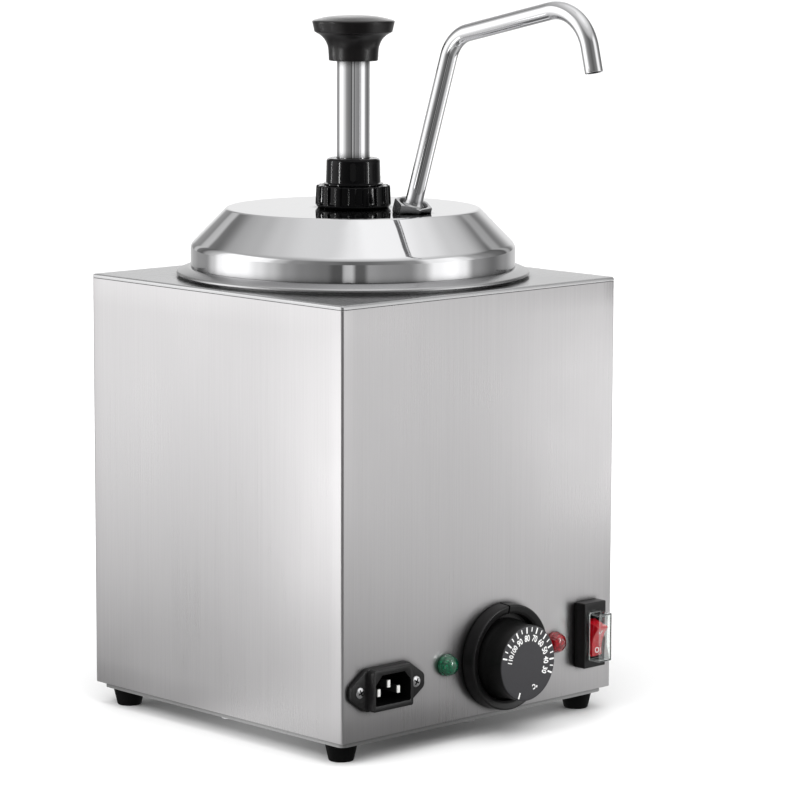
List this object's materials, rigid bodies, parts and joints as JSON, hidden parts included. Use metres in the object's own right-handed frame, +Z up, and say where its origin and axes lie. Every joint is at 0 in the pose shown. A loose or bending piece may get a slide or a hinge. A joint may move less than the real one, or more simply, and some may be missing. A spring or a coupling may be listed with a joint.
{
  "type": "heated cheese sauce pump dispenser",
  "caption": "Countertop heated sauce dispenser: square stainless water-bath case, lift-out pot, polished lid with a hand pump, bent spout, thermostat dial, lamps and rocker switch.",
  "frame": {"origin": "middle of the square casing, on the plane the four feet rest on", "axes": "+Z up; -Y is the front, with the controls and the spout; +X to the right as seen from the front"},
  "size_m": [0.2081, 0.2861, 0.3957],
  "materials": {
    "brushed_steel": "vertical brushed stainless sheet",
    "satin_steel": "satin stainless",
    "mirror_steel": "mirror-polished stainless",
    "bright_screws": "bright zinc and stainless fasteners",
    "rubber": "black moulded rubber",
    "glass_wool": "glass-wool blanket",
    "heater_sheath": "heat-tinted heater sheath",
    "brass": "plain brass",
    "copper": "copper bulb and capillary",
    "silicone": "food-grade silicone",
    "white_plastic": "moulded white plastic",
    "black_plastic": "fine-textured black plastic",
    "gloss_black": "glossy black moulding",
    "satin_black": "satin black moulding",
    "dial_black": null,
    "green_lens": "green faceted lens",
    "red_lens": "red faceted lens",
    "rocker_red": "translucent red rocker",
    "clear_cover": "clear moulded cover",
    "cable_sleeve": "insulated leads"
  },
  "bodies": {
    "casing": {"casing_shell": "brushed_steel", "top_plate": "brushed_steel", "base_plate": "brushed_steel", "base_screws": "bright_screws", "rubber_feet": "rubber", "foot_screws": "bright_screws", "foot_nuts": "bright_screws", "side_bung": "rubber", "well_support_ring": "satin_steel", "water_well": "satin_steel", "insulation_jacket": "glass_wool", "heating_element": "heater_sheath", "well_glands": "satin_steel", "gland_nuts": "brass", "thermostat_bulb": "copper", "safety_cutout": "black_plastic", "dial_bezel": "black_plastic", "thermostat_screws": "bright_screws", "thermostat_body": "white_plastic", "green_lens": "green_lens", "red_lens": "red_lens", "lamp_bodies": "white_plastic", "switch_frame": "black_plastic", "switch_cover": "clear_cover", "switch_terminals": "brass", "inlet_housing": "black_plastic", "inlet_pins": "bright_screws", "inlet_screws": "bright_screws", "inlet_nuts": "bright_screws", "terminal_block": "white_plastic", "terminal_screws": "brass", "earth_stud": "brass", "wiring_leads": "cable_sleeve"},
    "pot": {"inner_pot": "satin_steel"},
    "pump_lid": {"lid": "mirror_steel", "lid_base_ring": "mirror_steel", "pump_barrel": "satin_steel", "pump_gasket": "silicone", "neck_cap": "gloss_black", "guide_bush": "white_plastic", "foot_valve_body": "white_plastic", "ball_cage": "white_plastic", "outlet_elbow": "satin_steel", "riser_tube": "mirror_steel", "spout_socket": "satin_steel", "spout_seal": "silicone", "pump_spring": "bright_screws"},
    "collar": {"lock_collar": "gloss_black"},
    "plunger": {"plunger_tube": "mirror_steel", "plunger_knob": "satin_black", "knob_stud": "bright_screws", "piston": "white_plastic", "piston_seal": "silicone"},
    "union_nut": {"spout_nut": "mirror_steel"},
    "spout": {"spout_tube": "mirror_steel"},
    "valve_ball_lower": {"foot_valve_ball": "bright_screws"},
    "valve_ball_upper": {"outlet_ball": "bright_screws"},
    "dial": {"thermostat_knob": "dial_black", "thermostat_shaft": "satin_steel"},
    "rocker": {"switch_rocker": "rocker_red"}
  },
  "joints": [
    {"name": "pot_lift_out", "type": "slide", "parent": "casing", "child": "pot", "axis": [0, 0, 1], "range_m": [0, 0.16]},
    {"name": "lid_lift_off", "type": "slide", "parent": "pot", "child": "pump_lid", "axis": [0, 0, 1], "range_m": [0, 0.16]},
    {"name": "plunger_press", "type": "slide", "parent": "pump_lid", "child": "plunger", "axis": [0, 0, -1], "range_m": [0, 0.05], "stiffness_N_per_m": 250, "springref_m": -0.02, "deforming": ["pump_spring"]},
    {"name": "lock_collar_turn", "type": "hinge", "parent": "pump_lid", "child": "collar", "pos_m": [0, 0, 0.2817], "axis": [0, 0, 1], "continuous": true},
    {"name": "union_nut_turn", "type": "hinge", "parent": "pump_lid", "child": "union_nut", "pos_m": [0, -0.04526, 0.277], "axis": [0, -0.3145, 0.9493], "continuous": true},
    {"name": "spout_swivel", "type": "hinge", "parent": "pump_lid", "child": "spout", "pos_m": [0, -0.04526, 0.277], "axis": [0, -0.3145, 0.9493], "range_deg": [-90, 90]},
    {"name": "lower_valve_lift", "type": "slide", "parent": "pump_lid", "child": "valve_ball_lower", "axis": [0, 0, 1], "range_m": [0, 0.003]},
    {"name": "upper_valve_lift", "type": "slide", "parent": "pump_lid", "child": "valve_ball_upper", "axis": [0, 0, 1], "range_m": [0, 0.0016]},
    {"name": "thermostat_turn", "type": "hinge", "parent": "casing", "child": "dial", "pos_m": [0.015, -0.1016, 0.0416], "axis": [0, -1, 0], "range_deg": [-71, 204]},
    {"name": "power_rocker", "type": "hinge", "parent": "casing", "child": "rocker", "pos_m": [0.0812, -0.1021, 0.045], "axis": [-1, 0, 0], "range_deg": [0, 28]}
  ]
}
